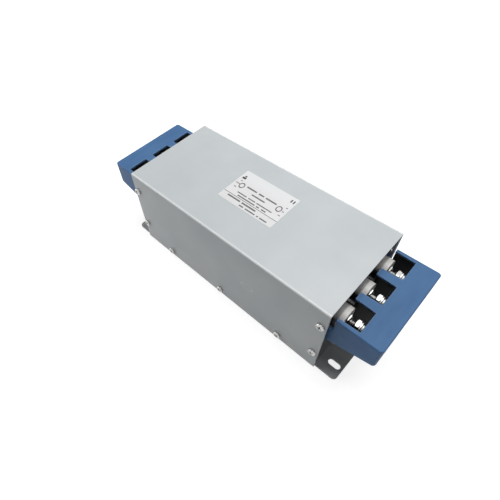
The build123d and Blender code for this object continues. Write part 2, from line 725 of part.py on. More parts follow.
def board_places():
    """The X of each piece in a row along the board, one to a phase."""
    return [(place - (PHASES - 1) / 2) * BOARD_PITCH for place in range(PHASES)]


def bleed_resistors():
    """The bleed resistors, lying on the board."""
    y = RESISTOR_SHARE * BOARD_HALF
    z = BOARD_TOP + RESISTOR_RADIUS
    half = RESISTOR_LENGTH / 2
    return [rod_x(RESISTOR_RADIUS, x - half, x + half, y, z) for x in board_places()]


def board_leads(tail_angles):
    """The lead from the board to each phase bar: straight down, or a post and a rod to a high bar."""
    leads = []
    for angle in tail_angles:
        y, z = polar(BAR_RADIUS, angle)
        z += CHOKE_HEIGHT
        if z < BOARD_LOW:
            lead = rod_z(LEAD_RADIUS, z, BOARD_LOW, LEAD_X, y)
        else:
            post_y = copysign(BOARD_HALF - LEAD_INSET, y)
            lead = rod_z(LEAD_POST_RADIUS, BOARD_TOP, z + 2 * LEAD_RADIUS, LEAD_X, post_y)
            lead += rod_y(LEAD_RADIUS, post_y, y, LEAD_X, z)
        leads.append(lead - phase_bar(angle))
    return leads


def save(name, pieces):
    """Write one node: a single solid or a group of separate like ones."""
    if isinstance(pieces, list):
        pieces = Compound(children=[solid for piece in pieces for solid in piece.solids()])
    export_step(pieces, f"parts/{name}.step")


def save_pair(name, piece):
    """Write the right-hand piece and its mirror image."""
    save(f"{name}_right", piece)
    if isinstance(piece, list):
        save(f"{name}_left", [opposite(solid) for solid in piece])
    else:
        save(f"{name}_left", opposite(piece))


def save_case():
    """The case and its screws."""
    save("housing_cover", housing_cover())
    save("base_tray", base_tray())
    save_pair("end_plate", end_plate())
    save_pair("terminal_cover", terminal_cover())
    save("terminal_cover_screws", terminal_cover_screws())
    save("side_screws", side_screws())
    save("clinch_nuts", clinch_nuts())
    save("rating_label", rating_label())


def save_terminals():
    """The bushings, studs and fastenings of the six terminals and the two earth terminals."""
    for number, y in enumerate(PHASE_Y, 1):
        save_pair(f"bushing_{number}", bushing(y))
    save_pair("terminal_studs", [terminal_stud(y) for y in PHASE_Y])
    for name, pieces in terminal_hardware().items():
        save(name, pieces)
    washers, nuts = earth_hardware()
    save("earth_studs", earth_studs())
    save("earth_washers", washers)
    save("earth_nuts", nuts)


def save_chokes():
    """The two chokes with their windings, links, brackets and bolts."""
    save_pair("choke_core", choke_core())
    save_pair("choke_case", choke_case())
    save_pair("choke_bracket", choke_bracket())
    save("choke_pads", choke_pads())
    bolt, nut = choke_bolt()
    save("choke_bolts", both_ends([bolt]))
    save("choke_bolt_nuts", both_ends([nut]))
    inner_tails = []
    for number, (wound, outer_tail, inner_tail) in enumerate(phase_windings(), 1):
        save_pair(f"winding_{number}", wound)
        save_pair(f"link_{number}", link(PHASE_Y[number - 1], outer_tail))
        inner_tails.append(inner_tail)
    save("phase_bars", [phase_bar(angle) for angle in inner_tails])
    save("board_leads", board_leads(inner_tails))


def save_board():
    """The capacitor board and what it carries."""
    save("capacitor_board", capacitor_board())
    save("board_standoffs", board_standoffs())
    save("board_screws", board_screws())
    for number, x in enumerate(board_places(), 1):
        size = (LINE_CAP_LENGTH, LINE_CAP_WIDTH, LINE_CAP_HEIGHT)
        capacitor = box_capacitor(*size, x, LINE_CAP_SHARE * BOARD_HALF)
        save(f"line_capacitor_{number}", capacitor)
    size = (EARTH_CAP_LENGTH, EARTH_CAP_WIDTH, EARTH_CAP_HEIGHT)
    y = EARTH_CAP_SHARE * BOARD_HALF
    save("earth_capacitors", [box_capacitor(*size, x, y) for x in board_places()])
    save("bleed_resistors", bleed_resistors())


os.makedirs("parts", exist_ok=True)
save_case()
save_terminals()
save_chokes()
save_board()
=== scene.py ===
"""Looks, light and camera of a three-phase line filter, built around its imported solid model."""

import logging
import math
from dataclasses import dataclass
from enum import Enum
from functools import reduce

import bmesh
import bpy
import numpy as np
from mathutils import Matrix, Vector


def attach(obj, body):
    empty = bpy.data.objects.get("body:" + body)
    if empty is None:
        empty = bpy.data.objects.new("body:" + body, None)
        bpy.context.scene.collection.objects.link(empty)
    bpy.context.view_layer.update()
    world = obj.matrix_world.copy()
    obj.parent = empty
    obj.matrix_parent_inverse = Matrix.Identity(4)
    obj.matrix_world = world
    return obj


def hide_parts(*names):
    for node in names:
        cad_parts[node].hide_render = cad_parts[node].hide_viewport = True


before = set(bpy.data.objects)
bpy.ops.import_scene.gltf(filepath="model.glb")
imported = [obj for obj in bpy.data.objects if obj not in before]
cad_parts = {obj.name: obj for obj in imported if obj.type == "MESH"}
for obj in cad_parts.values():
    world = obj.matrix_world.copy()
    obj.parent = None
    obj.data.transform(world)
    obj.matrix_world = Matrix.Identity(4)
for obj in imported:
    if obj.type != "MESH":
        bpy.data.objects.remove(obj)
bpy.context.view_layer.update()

MM = 0.001
BODY = "root"
LOG = logging.getLogger("line_filter")
NOISE_SPAN = (0.3, 0.7)  # where most of a noise's values lie

Pair = tuple[float, float]
Triple = tuple[float, float, float]
Colour = Triple
Socket = bpy.types.NodeSocket


class End(Enum):
    """The two ends of the case, by the sign of X."""

    LEFT = -1
    RIGHT = 1

    @property
    def label(self) -> str:
        """The end's name as the nodes spell it."""
        return self.name.lower()


def linear(*screen: int) -> Colour:
    """Turns a screen colour into the linear colour that a shader takes.

    Args:
        *screen: Red, green and blue from 0 to 255.

    Returns:
        The three linear values.
    """
    share = np.array(screen) / 255.0
    bent = ((share + 0.055) / 1.055) ** 2.4
    return tuple(float(value) for value in np.where(share <= 0.04045, share / 12.92, bent))


# Shaders


class Graph:
    """A shader graph: most methods add nodes and return an output socket."""

    def __init__(self, name: str) -> None:
        """Makes a material with an output, a principled shader and object coordinates.

        Args:
            name: The material's name.
        """
        self.material = bpy.data.materials.new(name)
        self.material.use_nodes = True
        self.tree = self.material.node_tree
        self.tree.nodes.clear()
        output = self.add("ShaderNodeOutputMaterial")
        self.shader = self.add("ShaderNodeBsdfPrincipled")
        self.tree.links.new(self.shader.outputs[0], output.inputs["Surface"])
        self.place = self.add("ShaderNodeTexCoord").outputs["Object"]

    def add(self, kind: str) -> bpy.types.Node:
        """Adds a node of a kind and returns it."""
        return self.tree.nodes.new(kind)

    def plug(self, socket: Socket, value: object) -> None:
        """Links a socket to another one, or sets its own value.

        Args:
            socket: The input to fill.
            value: An output socket, a number or a colour.
        """
        if isinstance(value, Socket):
            self.tree.links.new(value, socket)
        elif isinstance(value, tuple) and len(value) == 3 and len(socket.default_value) == 4:
            socket.default_value = (*value, 1.0)
        else:
            socket.default_value = value

    def node(self, kind: str, inputs: dict, output: int = 0, **settings: str) -> Socket:
        """Adds a node, makes its settings and fills its inputs.

        Args:
            kind: The kind of node.
            inputs: What to plug in, by the inputs' names or numbers.
            output: The number of the output.
            **settings: The node's own settings.

        Returns:
            The output.
        """
        node = self.add(kind)
        for name, value in settings.items():
            setattr(node, name, value)
        for name, value in inputs.items():
            self.plug(node.inputs[name], value)
        return node.outputs[output]

    def math(self, kind: str, *values: object) -> Socket:
        """Returns the result of a sum on one to three numbers."""
        return self.node("ShaderNodeMath", dict(enumerate(values)), operation=kind)

    def carried(self, kind: str, values: list[Socket]) -> Socket:
        """Returns the result of a sum on two numbers, carried on through several."""
        return reduce(lambda first, second: self.math(kind, first, second), values)

    def axes(self) -> list[Socket]:
        """Splits the object coordinates.

        Returns:
            X, Y and Z in mm.
        """
        node = self.add("ShaderNodeSeparateXYZ")
        self.plug(node.inputs[0], self.place)
        return [self.math("MULTIPLY", axis, 1.0 / MM) for axis in node.outputs]

    def scaled(self, *factors: float) -> Socket:
        """Returns the object coordinates stretched along X, Y and Z."""
        return self.node("ShaderNodeMapping", {"Vector": self.place, "Scale": factors})

    def noise(self, size: float, detail: float = 2.0, vector: Socket = None) -> Socket:
        """Returns noise from 0 to 1, its clouds that wide in metres, with a number of finer layers."""
        inputs = {"Vector": vector or self.place, "Scale": 1.0 / size, "Detail": detail}
        return self.node("ShaderNodeTexNoise", inputs)

    def spread(self, value: object, low: float, high: float, *ends: float) -> Socket:
        """Maps a range to another, by its two ends or else 0 and 1, and holds what lies outside."""
        return self.node("ShaderNodeMapRange", dict(enumerate((value, low, high, *(ends or (0.0, 1.0))))))

    def below(self, value: object, edge: float, soft: float) -> Socket:
        """Returns 1 below an edge and 0 above it, softly over that much to either side."""
        return self.spread(value, edge - soft, edge + soft, 1.0, 0.0)

    def band(self, value: object, low: float, high: float, soft: float) -> Socket:
        """Returns 1 between two values and 0 outside them, with soft sides."""
        rise = self.spread(value, low - soft, low + soft)
        return self.math("MULTIPLY", rise, self.below(value, high, soft))

    def distance(self, axes: tuple[Socket, Socket], middle: Pair, half: Pair) -> Socket:
        """Measures how far out a point lies: the root of the sum of ((axis - middle) / half)^2.

        Args:
            axes: The two coordinates.
            middle: The middle along each.
            half: The length that counts as 1 along each.

        Returns:
            The distance, which is 1 on the oval with those half-lengths.
        """
        off = [self.math("SUBTRACT", axis, place) for axis, place in zip(axes, middle)]
        squares = [self.math("POWER", self.math("DIVIDE", side, size), 2.0) for side, size in zip(off, half)]
        return self.math("SQRT", self.math("ADD", *squares))

    def mix(self, share: object, first: object, second: object) -> Socket:
        """Returns two colours mixed by a share from 0, the first, to 1, the second."""
        return self.node("ShaderNodeMix", {0: share, 6: first, 7: second}, 2, data_type="RGBA")

    def bump(self, height: object, depth: float, strength: float) -> Socket:
        """Returns a normal with relief, by the depth of a full height in metres and the share that shows."""
        return self.node("ShaderNodeBump", {"Strength": strength, "Distance": depth, "Height": height})

    def finish(self, **sockets: object) -> bpy.types.Material:
        """Fills the shader's inputs.

        Args:
            **sockets: Values by the inputs' names, with underscores for spaces.

        Returns:
            The finished material.
        """
        for name, value in sockets.items():
            self.plug(self.shader.inputs[name.replace("_", " ")], value)
        return self.material


@dataclass(frozen=True)
class Finish:
    """What every finish has: a name, its colour and the shade that it drifts to."""

    name: str
    colour: Colour
    shade: Colour

    def material(self) -> bpy.types.Material:
        """Builds the finish, each kind in its own way."""
        raise NotImplementedError

    def marked(self, graph: Graph, colour: Socket) -> Socket:
        """Returns the colour as it is, for a finish with nothing peculiar to it."""
        return colour


@dataclass(frozen=True)
class Paint(Finish):
    """Satin stove paint: an even colour with a faint cloud, a few specks and a fine peel."""

    roughness: float = 0.42
    wander: Pair = (-0.03, 0.05)
    cloud: float = 45 * MM
    speck: float = 0.35 * MM
    speck_span: Pair = (0.66, 0.8)
    speck_share: float = 0.35
    peel: float = 0.9 * MM
    peel_depth: float = 0.012 * MM
    peel_strength: float = 0.5

    def material(self) -> bpy.types.Material:
        """Builds the paint.

        Returns:
            The material.
        """
        graph = Graph(self.name)
        cloud = graph.spread(graph.noise(self.cloud, 3.0), *NOISE_SPAN)
        speck = graph.spread(graph.noise(self.speck, 1.0), *self.speck_span, 0.0, self.speck_share)
        base = graph.mix(cloud, self.colour, self.shade)
        colour = self.marked(graph, graph.mix(speck, base, self.shade))
        rough = graph.spread(cloud, 0.0, 1.0, *(self.roughness + step for step in self.wander))
        normal = graph.bump(graph.noise(self.peel), self.peel_depth, self.peel_strength)
        return graph.finish(Base_Color=colour, Roughness=rough, Normal=normal)


@dataclass(frozen=True)
class CoverPaint(Paint):
    """The case cover's paint: a painted highlight along both folds, and a faint oval ring on one long side,
    in mm.
    """

    # pale: the tone of the painted highlight on the folds, and of the ring
    pale: Colour = linear(234, 238, 239)
    fold: Pair = (53.4, 101.7)
    fold_soft: Pair = (-0.4, 0.2)
    fold_highlight_share: float = 0.95
    ring_place: Pair = (38.8, 53.8)
    ring_half: Pair = (8.0, 4.5)
    ring_line: Triple = (0.82, 1.0, 0.03)
    ring_share: float = 0.7
    near_side: Pair = (-55.2, -55.0)

    def marked(self, graph: Graph, colour: Socket) -> Socket:
        """Adds the painted highlight along the folds, and the ring.

        The painted highlight lies on each fold, where both the distance from the middle and the height are
        past its start. The ring is where the distance from its middle, measured in half-lengths, is near 1.

        Args:
            graph: The paint's graph.
            colour: The plain colour.

        Returns:
            The marked colour.
        """
        x, y, z = graph.axes()
        flank, crest = ([start + step for step in self.fold_soft] for start in self.fold)
        # painted highlight along each fold, paler towards the top of the bend
        aside = graph.spread(graph.math("ABSOLUTE", y), *flank, 0.0, self.fold_highlight_share)
        folded = graph.math("MULTIPLY", aside, graph.spread(z, *crest))
        oval = graph.band(graph.distance((x, z), self.ring_place, self.ring_half), *self.ring_line)
        near = graph.spread(y, *self.near_side, self.ring_share, 0.0)
        marks = graph.math("MAXIMUM", folded, graph.math("MULTIPLY", oval, near))
        return graph.mix(marks, colour, self.pale)


@dataclass(frozen=True)
class Moulding(Finish):
    """Moulded plastic: its colour drifts a little, with a fine grain and faint flow lines."""

    roughness: float = 0.5
    wander: Pair = (-0.05, 0.07)
    grain: float = 0.5 * MM
    grain_depth: float = 0.02 * MM
    grain_strength: float = 0.6
    flow: float = 14 * MM
    flow_stretch: float = 0.35
    flow_span: Pair = (0.32, 0.68)
    mottle: float = 0.5
    sheen: float = 0.5

    def material(self) -> bpy.types.Material:
        """Builds the plastic.

        Returns:
            The material.
        """
        graph = Graph(self.name)
        flow = graph.noise(self.flow, 3.0, graph.scaled(1.0, self.flow_stretch, 1.0))
        drift = graph.spread(flow, *self.flow_span)
        fine = graph.noise(self.grain, 3.0)
        mottled = graph.math("MULTIPLY_ADD", graph.math("SUBTRACT", fine, 0.5), self.mottle, drift)
        colour = self.marked(graph, graph.mix(graph.spread(mottled, 0.0, 1.0), self.colour, self.shade))
        rough = graph.spread(fine, *NOISE_SPAN, *(self.roughness + step for step in self.wander))
        normal = graph.bump(fine, self.grain_depth, self.grain_strength)
        return graph.finish(Base_Color=colour, Roughness=rough, Normal=normal, Specular_IOR_Level=self.sheen)


@dataclass(frozen=True)
class CoverPlastic(Moulding):
    """The terminal covers' plastic: painted shade inside, a painted shadow line under the top rim, painted
    highlights on the edges, in mm.
    """

    dark: Colour = linear(2, 3, 5)
    # pale: the tone of the painted highlights on the edges
    pale: Colour = linear(132, 160, 196)
    front: float = 165.7
    half: float = 45.7
    ceiling: float = 87.7
    soft: float = 0.1
    line: Triple = (88.3, 88.9, 0.15)
    shadow_line_share: float = 0.5
    crest: float = 89.5
    pitch: float = 32.5
    window: Triple = (11.25, 146.5, 0.039)
    rear: float = 127.5
    rim: float = 0.6
    rim_highlight_share: float = 0.55

    def marked(self, graph: Graph, colour: Socket) -> Socket:
        """Adds painted shade inside, a painted shadow line under the rim and painted highlights on the
        edges.

        The painted shade inside covers what lies within the front, the half-width and the ceiling. The
        painted highlights lie on top within a rim's width of a window, whose half-width grows evenly from
        its front, or of the rear edge.

        Args:
            graph: The plastic's graph.
            colour: The plain colour.

        Returns:
            The marked colour.
        """
        x, y, z = graph.axes()
        along, aside = graph.math("ABSOLUTE", x), graph.math("ABSOLUTE", y)
        from_row = graph.math("ABSOLUTE", graph.math("WRAP", y, self.pitch / 2, -self.pitch / 2))
        narrow, end, flare = self.window
        edge = graph.math("MULTIPLY_ADD", graph.math("SUBTRACT", end, along), flare, narrow + self.rim)
        beside = graph.below(graph.math("SUBTRACT", from_row, edge), 0.0, self.soft)
        before = graph.below(along, end + self.rim, self.soft)
        behind = graph.below(along, self.rear + self.rim, self.soft)
        # painted highlight on top along each window's edges and the rear edge
        edges = graph.math("MAXIMUM", graph.math("MULTIPLY", beside, before), behind)
        on_top = graph.spread(z, self.crest - self.soft, self.crest, 0.0, self.rim_highlight_share)
        colour = graph.mix(graph.math("MULTIPLY", edges, on_top), colour, self.pale)
        # painted shadow line just under the top rim
        line = graph.math("MULTIPLY", graph.band(z, *self.line), self.shadow_line_share)
        colour = graph.mix(line, colour, self.dark)
        # painted shade: near black inside the walls, where the windows show only shade
        walls = ((along, self.front), (aside, self.half), (z, self.ceiling))
        within = [graph.below(value, limit, self.soft) for value, limit in walls]
        return graph.mix(graph.carried("MULTIPLY", within), colour, self.dark)


@dataclass(frozen=True)
class BushingPlastic(Moulding):
    """The bushings' plastic: a warm white collar, with painted shade in a band next to the case, darkest low
    down, in mm.
    """

    shade_band_colour: Colour = linear(168, 166, 164)
    deep_shade_colour: Colour = linear(12, 14, 17)
    low: Pair = (80.0, 83.5)
    band_edge: Pair = (126.4, 0.6)

    def marked(self, graph: Graph, colour: Socket) -> Socket:
        """Paints shade on what lies behind the band's edge along X, darkest low down.

        Args:
            graph: The plastic's graph.
            colour: The collar's colour.

        Returns:
            The marked colour.
        """
        x, _, z = graph.axes()
        # painted shade: the case edge's shadow on the collar, near black low down
        behind = graph.below(graph.math("ABSOLUTE", x), *self.band_edge)
        band = graph.mix(graph.spread(z, *self.low), self.deep_shade_colour, self.shade_band_colour)
        return graph.mix(behind, colour, band)


@dataclass(frozen=True)
class Metal(Finish):
    """Bare or plated metal: turning lines round X, cloudy tarnish, and painted shade in the crevices."""

    roughness: float = 0.3
    wear_start: float = -0.12
    lines: Triple = (0.04 * MM, 4 * MM, 4 * MM)
    line_wear: float = 0.12
    line_depth: float = 0.01 * MM
    line_strength: float = 0.5
    cloud: float = 3.5 * MM
    cloud_wear: float = 0.2
    stain_span: Pair = (0.45, 0.75)
    stain_share: float = 0.7
    crevice: float = 1.6 * MM
    crevice_rays: int = 8
    open_span: Pair = (0.3, 0.7)
    crevice_shade_tone: float = 0.16
    crevice_shade_share: float = 0.85

    def material(self) -> bpy.types.Material:
        """Builds the metal. The painted shade lies where little open space is within a crevice's width.

        Returns:
            The material.
        """
        graph = Graph(self.name)
        lines = graph.noise(MM, vector=graph.scaled(*(MM / size for size in self.lines)))
        cloud = graph.noise(self.cloud, 4.0)
        stain = graph.spread(cloud, *self.stain_span, 0.0, self.stain_share)
        bare = graph.mix(stain, self.colour, self.shade)
        # painted shade: darker where occlusion finds little open space, as in crevices and between stacked
        # parts
        hollow = graph.add("ShaderNodeAmbientOcclusion")
        hollow.samples = self.crevice_rays
        graph.plug(hollow.inputs["Distance"], self.crevice)
        crevice_shade = graph.spread(hollow.outputs["AO"], *self.open_span, self.crevice_shade_share, 0.0)
        colour = graph.mix(crevice_shade, bare, tuple(self.crevice_shade_tone * value for value in self.shade))
        worn = graph.math("MULTIPLY", lines, self.line_wear)
        wear = graph.math("MULTIPLY_ADD", cloud, self.cloud_wear, worn)
        rough = graph.math("ADD", wear, self.roughness + self.wear_start)
        normal = graph.bump(lines, self.line_depth, self.line_strength)
        return graph.finish(Base_Color=colour, Metallic=1.0, Roughness=rough, Normal=normal)


@dataclass(frozen=True)
class PrintRow:
    """One row of printed bars: its height, their thickness and the two ends of each, in mm."""

    y: float
    thick: float
    bars: tuple[Pair, ...]

    def mask(self, graph: Graph, x: Socket, y: Socket, soft: float) -> Socket:
        """Marks the bars.

        Args:
            graph: The label's graph.
            x: X in mm.
            y: Y in mm.
            soft: Half the width of the soft sides.

        Returns:
            1 on a bar and 0 elsewhere.
        """
        along = graph.carried("MAXIMUM", [graph.band(x, *bar, soft) for bar in self.bars])
        across = graph.band(y, self.y - self.thick / 2, self.y + self.thick / 2, soft)
        return graph.math("MULTIPLY", along, across)


@dataclass(frozen=True)
class LabelPrint(Finish):
    """Printed film: a pale ground, a rule, rows of plain bars in place of words, rings and squares."""

    strip_tint: Colour = linear(236, 236, 237)
    ink: Colour = linear(34, 34, 37)
    dark_ink: Colour = linear(24, 25, 28)
    soft: float = 0.08
    cloud: float = 9 * MM
    tinted: Triple = (-4.0, 15.0, 4.0)
    tint_share: Pair = (0.4, 1.0)
    strip_edge: Pair = (-7.4, 0.3)
    dash: float = 1.35
    gap: tuple[float, ...] = (0.06, 0.16, 0.45, 1.0)
    wave: Triple = (6 * MM, 0.03 * MM, 0.3)
    gloss: Pair = (0.34, 0.42)
    words: tuple[PrintRow, ...] = (
        PrintRow(9.6, 1.8, ((-18.0, -5.2), (-2.6, 3.8), (6.2, 19.4))),
        PrintRow(4.2, 1.6, ((-7.4, 9.0),)),
        PrintRow(-1.6, 1.3, ((-20.8, -9.0), (-6.8, 2.0), (3.6, 22.2))),
        PrintRow(-5.0, 1.5, ((-17.6, 4.2), (6.0, 9.8), (12.2, 17.8))),
        PrintRow(-10.3, 1.8, ((-26.0, -9.8), (-7.6, 9.8))),
        PrintRow(-14.3, 1.5, ((-7.6, -2.2), (0.0, 12.2), (14.2, 16.4), (18.0, 26.6))),
        PrintRow(8.0, 1.0, ((-31.6, -26.4),)),
        PrintRow(12.8, 1.0, ((-29.2, -27.0),)),
        PrintRow(2.6, 1.0, ((-29.4, -27.0),)),
        PrintRow(12.2, 1.0, ((29.0, 30.8),)),
        PrintRow(6.0, 1.0, ((28.8, 30.8),)),
        PrintRow(0.0, 1.0, ((28.6, 30.8),)),
    )
    squares: tuple[PrintRow, ...] = (
        PrintRow(17.4, 2.6, ((-31.0, -26.6),)),
        PrintRow(20.2, 2.0, ((-29.6, -27.6),)),
        PrintRow(22.4, 4.2, ((26.8, 28.2), (29.8, 31.2))),
    )
    rule: PrintRow = PrintRow(-7.4, 0.6, ((-33.2, 33.2),))
    rings: tuple[Pair, ...] = ((-23.4, 7.6), (24.6, 6.6))
    ring_line: Pair = (2.2, 3.1)
    ring_shape: Pair = (1.0, 1.25)

    def material(self) -> bpy.types.Material:
        """Builds the printed film from bars, rings and dashes measured in mm.

        Returns:
            The material.
        """
        graph = Graph(self.name)
        x, y, _ = graph.axes()
        cloud = graph.noise(self.cloud)
        patchy = graph.spread(cloud, *NOISE_SPAN, *self.tint_share)
        tint = graph.math("MULTIPLY", graph.band(y, *self.tinted), patchy)
        paper = graph.mix(tint, self.colour, self.shade)
        paper = graph.mix(graph.below(y, *self.strip_edge), paper, self.strip_tint)
        dashes = graph.math("PINGPONG", graph.math("DIVIDE", x, self.dash), 0.5)
        words = graph.carried("MAXIMUM", [row.mask(graph, x, y, self.soft) for row in self.words])
        words = graph.math("MULTIPLY", words, graph.spread(dashes, *self.gap))
        marks = [row.mask(graph, x, y, self.soft) for row in (*self.squares, self.rule)]
        for middle in self.rings:
            out = graph.distance((x, y), middle, self.ring_shape)
            marks.append(graph.band(out, *self.ring_line, self.soft))
        printed = graph.mix(words, paper, self.ink)
        colour = graph.mix(graph.carried("MAXIMUM", marks), printed, self.dark_ink)
        wave, depth, strength = self.wave
        normal = graph.bump(graph.noise(wave, 1.0), depth, strength)
        rough = graph.spread(cloud, *NOISE_SPAN, *self.gloss)
        return graph.finish(Base_Color=colour, Roughness=rough, Normal=normal)


# Surfaces


@dataclass
class Surface:
    """Points and faces of one or more skins, those of the object's pieces closed and in millimetres."""

    points: np.ndarray
    quads: np.ndarray

    def moved(self, x: float, y: float, z: float) -> "Surface":
        """Returns the surface shifted."""
        return Surface(self.points + np.array([x, y, z]), self.quads)

    def turned(self, *rows: Triple) -> "Surface":
        """Returns the surface with its axes turned to the three given rows."""
        return Surface(self.points @ np.array(rows, dtype=float), self.quads)

    def spun(self, angle: float) -> "Surface":
        """Returns the surface turned about its own Z by an angle in radians."""
        cosine, sine = math.cos(angle), math.sin(angle)
        return self.turned((cosine, sine, 0.0), (-sine, cosine, 0.0), (0.0, 0.0, 1.0))

    def at_end(self, end: End) -> "Surface":
        """Returns the surface, which is made for the right end, or its mirror image for the left."""
        return Surface(self.points * np.array([end.value, 1.0, 1.0]), self.quads[:, :: end.value])

    def at_both_ends(self) -> "Surface":
        """Returns the surface, which is made for the right end, at both ends."""
        return Surface.joined([self.at_end(End.RIGHT), self.at_end(End.LEFT)])

    @staticmethod
    def grid(points: np.ndarray, close_rows: bool = False, close_columns: bool = True) -> "Surface":
        """Joins each point of a grid to the next in its row and in its column.

        Args:
            points: Points by row and column.
            close_rows: Whether the last row joins the first.
            close_columns: Whether the last column joins the first.

        Returns:
            The surface.
        """
        rows, columns, _ = points.shape
        row, column = np.meshgrid(
            np.arange(rows if close_rows else rows - 1),
            np.arange(columns if close_columns else columns - 1),
            indexing="ij",
        )
        corner_row = (row[..., None] + [0, 0, 1, 1]) % rows
        corner_column = (column[..., None] + [0, 1, 1, 0]) % columns
        return Surface(points.reshape(-1, 3), (corner_row * columns + corner_column).reshape(-1, 4))

    @staticmethod
    def joined(parts: list["Surface"]) -> "Surface":
        """Makes one surface of several.

        Args:
            parts: The surfaces.

        Returns:
            The joined surface.
        """
        starts = np.cumsum([0] + [len(part.points) for part in parts[:-1]])
        quads = [part.quads + start for part, start in zip(parts, starts)]
        return Surface(np.concatenate([part.points for part in parts]), np.concatenate(quads))


def circle(count: int) -> np.ndarray:
    """Returns evenly spaced angles round a circle."""
    return np.linspace(0.0, 2 * math.pi, count, endpoint=False)


def softened(corners: object, radii: object, steps: int = 5) -> np.ndarray:
    """Rounds the corners of a closed outline.

    Each corner becomes a curve that starts and ends the radius away from it along its two sides
    and is drawn towards the corner between them: (1-t)^2 start + 2t(1-t) corner + t^2 end.

    Args:
        corners: The outline's corners, in order.
        radii: One radius, or one for each corner.
        steps: Points on each curve.

    Returns:
        The rounded outline.
    """
    corners = np.asarray(corners, dtype=float)
    sides = (np.roll(corners, 1, axis=0) - corners, np.roll(corners, -1, axis=0) - corners)
    reach = np.broadcast_to(np.asarray(radii, dtype=float), len(corners))[:, None]
    ends = [corners + reach * side / np.linalg.norm(side, axis=1, keepdims=True) for side in sides]
    t = np.linspace(0.0, 1.0, steps)[None, :, None]
    curve = (1 - t) ** 2 * ends[0][:, None] + 2 * t * (1 - t) * corners[:, None] + t**2 * ends[1][:, None]
    return curve.reshape(-1, 2)


def round_x(x: np.ndarray, radius: np.ndarray, angle: np.ndarray, closed: bool) -> Surface:
    """Places a grid of points about X: (x, r cos a, r sin a).

    Args:
        x: X of each point.
        radius: Its distance from X.
        angle: Its angle round X.
        closed: Whether the last row joins the first.

    Returns:
        The surface, whose rows are rings or closed sections.
    """
    x, radius, angle = np.broadcast_arrays(x, radius, angle)
    return Surface.grid(np.stack([x, radius * np.cos(angle), radius * np.sin(angle)], axis=-1), closed)


def lathe(profile: np.ndarray, around: int = 48) -> Surface:
    """Turns a closed profile of X and radius about X."""
    return round_x(profile[:, :1], profile[:, 1:], circle(around), True)


def ring(outer: float, bore: float, x0: float, x1: float, soft: float = 0.25) -> Surface:
    """Returns a flat ring along X with softened edges: a rounded rectangle turned about X."""
    return lathe(softened([(x0, bore), (x0, outer), (x1, outer), (x1, bore)], soft))


@dataclass(frozen=True)
class Nut:
    """A hexagon nut along X from zero, a flat upward, in mm."""

    flats: float
    thick: float
    bore: float
    corner_cut: float = 0.12
    face_share: float = 0.95
    sink: float = 0.5
    around: int = 96
    near_face: tuple[float, ...] = (0.0, 0.06, 0.12, 0.2, 0.3, 0.42, 0.56, 0.72, 0.9)

    def hexagon(self, angle: np.ndarray) -> np.ndarray:
        """Works out the outside: half the flats over the cosine of the angle from the nearest flat's middle.

        Args:
            angle: Angles round X.

        Returns:
            The radius at each, held at the circle that cuts the corners.
        """
        sixth = math.pi / 3
        from_flat = (angle + sixth / 2 - math.pi / 2) % sixth - sixth / 2
        corner = self.flats / 2 / math.cos(sixth / 2)
        return np.minimum(self.flats / 2 / np.cos(from_flat), corner - self.corner_cut)

    def surface(self) -> Surface:
        """Builds the nut.

        Its outside is the smaller of the hexagon and, near each face, a cone of 30 degrees that
        meets the face in a circle. Its bore is opened at both ends by a small countersink.

        Returns:
            The nut.
        """
        angle = circle(self.around)
        near = np.array(self.near_face)
        x = np.concatenate([near, self.thick - near[::-1]])
        cone = self.flats / 2 * self.face_share + np.minimum(x, self.thick - x) / math.tan(math.pi / 6)
        outside = np.minimum(self.hexagon(angle), cone[:, None])
        rows = np.concatenate([[self.sink, 0.0], x, [self.thick, self.thick - self.sink]])
        bore = np.full((1, self.around), self.bore)
        radius = np.concatenate([bore, bore + self.sink, outside, bore + self.sink, bore])
        return round_x(rows[:, None], radius, angle, True)


@dataclass(frozen=True)
class ThreadedRod:
    """A rod along X, threaded from a start to its front end, in mm; depth and tip are shares of a pitch."""

    radius: float
    back: float
    start: float
    front: float
    pitch: float
    around: int = 36
    rings_a_turn: int = 10
    depth: float = 0.54
    steepness: float = 1.25
    crest: float = 0.12
    tip: float = 0.495

    def surface(self) -> Surface:
        """Builds the rod.

        The radius falls and rises once a pitch as a triangle wave of x / pitch - angle / turn, so
        the ridge climbs one pitch in each turn. A short cone ends the rod.

        Returns:
            The rod.
        """
        angle, pitch = circle(self.around), self.pitch
        step = pitch / self.rings_a_turn
        stations = np.arange(self.start, self.front + step / 2, step)
        x = np.concatenate([[self.back, self.back], stations, [self.front]])[:, None]
        wave = np.abs(2 * ((x / pitch - angle / (2 * math.pi)) % 1.0) - 1)
        cut = np.clip(wave * self.steepness - self.crest, 0.0, 1.0)
        cut = self.depth * pitch * np.clip((x - self.start) / pitch, 0.0, 1.0) * cut
        cone = self.radius - self.tip * pitch + self.front - x
        radius = np.minimum(self.radius - cut, cone)
        radius[[0, -1]] = 0.0
        return round_x(x, radius, angle, False)


@dataclass(frozen=True)
class SplitRing:
    """A spring washer along X from zero, split at its lowest point, in mm."""

    outer: float
    bore: float
    thick: float
    gap: float
    lift: float = 0.25
    edge: float = 0.3
    steps: int = 56

    def surface(self) -> Surface:
        """Builds the washer.

        A rounded square section is carried round from one side of the gap to the other and slides
        along X by the lift on its way. Both ends shrink to a point in the section's middle.

        Returns:
            The washer.
        """
        flat = self.thick - self.lift
        corners = [(0.0, self.bore), (0.0, self.outer), (flat, self.outer), (flat, self.bore)]
        section = softened(corners, self.edge, 4)
        half_gap = self.gap / (self.outer + self.bore)
        share = np.concatenate([[0.0], np.linspace(0.0, 1.0, self.steps), [1.0]])[:, None]
        angle = -math.pi / 2 + half_gap + share * (2 * math.pi - 2 * half_gap)
        loops = np.repeat(section[None], len(share), axis=0)
        loops[[0, -1]] = section.mean(axis=0)
        return round_x(loops[..., 0] + self.lift * share, loops[..., 1], angle, False)


